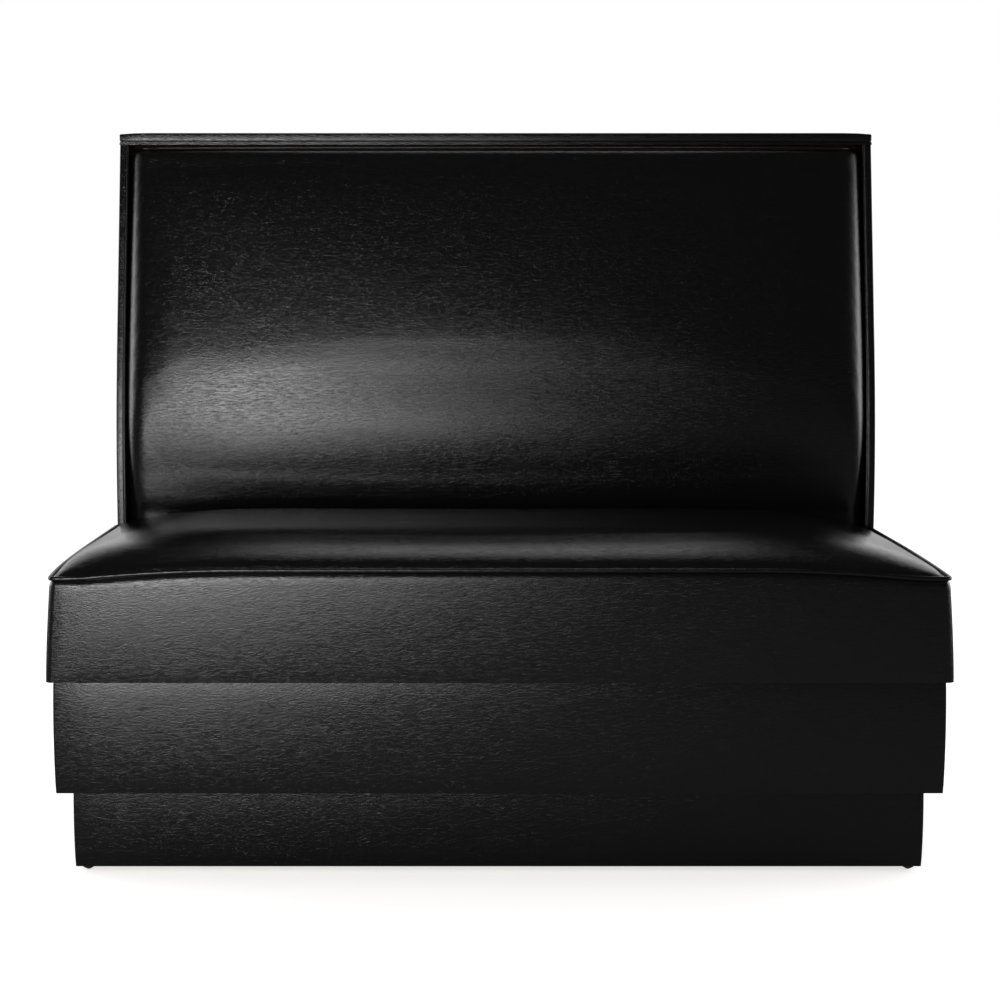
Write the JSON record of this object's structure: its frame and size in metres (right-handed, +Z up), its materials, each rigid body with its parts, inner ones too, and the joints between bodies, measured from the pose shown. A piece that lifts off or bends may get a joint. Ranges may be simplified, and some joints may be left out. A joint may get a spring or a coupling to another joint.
{
  "type": "restaurant booth seating",
  "caption": "Single restaurant booth bench with a spring seat, a plain padded back, a flat cap, a recessed plinth and levelling glides, all covered in black vinyl.",
  "frame": {"origin": "on the floor under the middle of the booth's overall box", "axes": "+X along the bench to the sitter's left, which is right in the picture; -Y to the front of the seat; +Z up"},
  "size_m": [1.219, 0.6346, 1.081],
  "materials": {
    "vinyl": "black grained upholstery vinyl, satin",
    "timber": "planed softwood",
    "plywood": "raw plywood",
    "hardboard": "raw hardboard",
    "foam": "open-cell upholstery foam",
    "felt": "needled fibre pad",
    "zinc_steel": "zinc plated",
    "pad_plastic": "moulded nylon"
  },
  "bodies": {
    "booth": {"plinth_cover": "vinyl", "box_cover": "vinyl", "seat_top_cover": "vinyl", "seat_boxing": "vinyl", "seat_welt": "vinyl", "back_cover": "vinyl", "back_left_panel_cover": "vinyl", "back_right_panel_cover": "vinyl", "back_left_welt": "vinyl", "back_right_welt": "vinyl", "back_top_welt": "vinyl", "outer_back_cover": "vinyl", "cap_cover": "vinyl", "cap_strip": "vinyl", "plinth_corner_posts": "timber", "box_corner_blocks": "timber", "box_rear_cleat": "timber", "cap_tenons": "timber", "plinth_front_board": "plywood", "plinth_rear_board": "plywood", "plinth_left_board": "plywood", "plinth_right_board": "plywood", "plinth_centre_rib": "plywood", "box_floor_board": "plywood", "box_front_board": "plywood", "box_rear_board": "plywood", "box_left_board": "plywood", "box_right_board": "plywood", "box_centre_divider": "plywood", "seat_front_rail": "plywood", "seat_rear_rail": "plywood", "seat_left_rail": "plywood", "seat_right_rail": "plywood", "back_left_panel": "plywood", "back_right_panel": "plywood", "back_left_rib": "plywood", "back_right_rib": "plywood", "back_bottom_rail": "plywood", "back_middle_rails": "plywood", "back_top_rail": "plywood", "cap_board": "plywood", "back_support_board": "hardboard", "outer_back_board": "hardboard", "seat_foam": "foam", "back_foam": "foam", "seat_insulator": "felt", "glide_tee_nuts": "zinc_steel", "seat_springs": "zinc_steel", "seat_spring_clips": "zinc_steel", "seat_joining_plates": "zinc_steel", "seat_plate_screws": "zinc_steel", "back_coach_screws": "zinc_steel"},
    "pad_front_left": {"glide_pad_front_left": "pad_plastic"},
    "stem_front_left": {"glide_stem_front_left": "zinc_steel"},
    "pad_front_right": {"glide_pad_front_right": "pad_plastic"},
    "stem_front_right": {"glide_stem_front_right": "zinc_steel"},
    "pad_rear_left": {"glide_pad_rear_left": "pad_plastic"},
    "stem_rear_left": {"glide_stem_rear_left": "zinc_steel"},
    "pad_rear_right": {"glide_pad_rear_right": "pad_plastic"},
    "stem_rear_right": {"glide_stem_rear_right": "zinc_steel"}
  },
  "joints": [
    {"name": "level_front_left", "type": "slide", "parent": "booth", "child": "pad_front_left", "axis": [0, 0, -1], "range_m": [0, 0.012]},
    {"name": "turn_front_left", "type": "hinge", "parent": "pad_front_left", "child": "stem_front_left", "pos_m": [-0.5895, -0.181, 0.008], "axis": [0, 0, 1], "range_deg": [0, 3460]},
    {"name": "level_front_right", "type": "slide", "parent": "booth", "child": "pad_front_right", "axis": [0, 0, -1], "range_m": [0, 0.012]},
    {"name": "turn_front_right", "type": "hinge", "parent": "pad_front_right", "child": "stem_front_right", "pos_m": [0.5895, -0.181, 0.008], "axis": [0, 0, 1], "range_deg": [0, 3460]},
    {"name": "level_rear_left", "type": "slide", "parent": "booth", "child": "pad_rear_left", "axis": [0, 0, -1], "range_m": [0, 0.012]},
    {"name": "turn_rear_left", "type": "hinge", "parent": "pad_rear_left", "child": "stem_rear_left", "pos_m": [-0.5895, 0.2955, 0.008], "axis": [0, 0, 1], "range_deg": [0, 3460]},
    {"name": "level_rear_right", "type": "slide", "parent": "booth", "child": "pad_rear_right", "axis": [0, 0, -1], "range_m": [0, 0.012]},
    {"name": "turn_rear_right", "type": "hinge", "parent": "pad_rear_right", "child": "stem_rear_right", "pos_m": [0.5895, 0.2955, 0.008], "axis": [0, 0, 1], "range_deg": [0, 3460]}
  ],
  "couplings": [
    {"joint": "turn_front_left", "follows": "level_front_left", "rad_per_m": 5026.5},
    {"joint": "turn_front_right", "follows": "level_front_right", "rad_per_m": 5026.5},
    {"joint": "turn_rear_left", "follows": "level_rear_left", "rad_per_m": 5026.5},
    {"joint": "turn_rear_right", "follows": "level_rear_right", "rad_per_m": 5026.5}
  ]
}
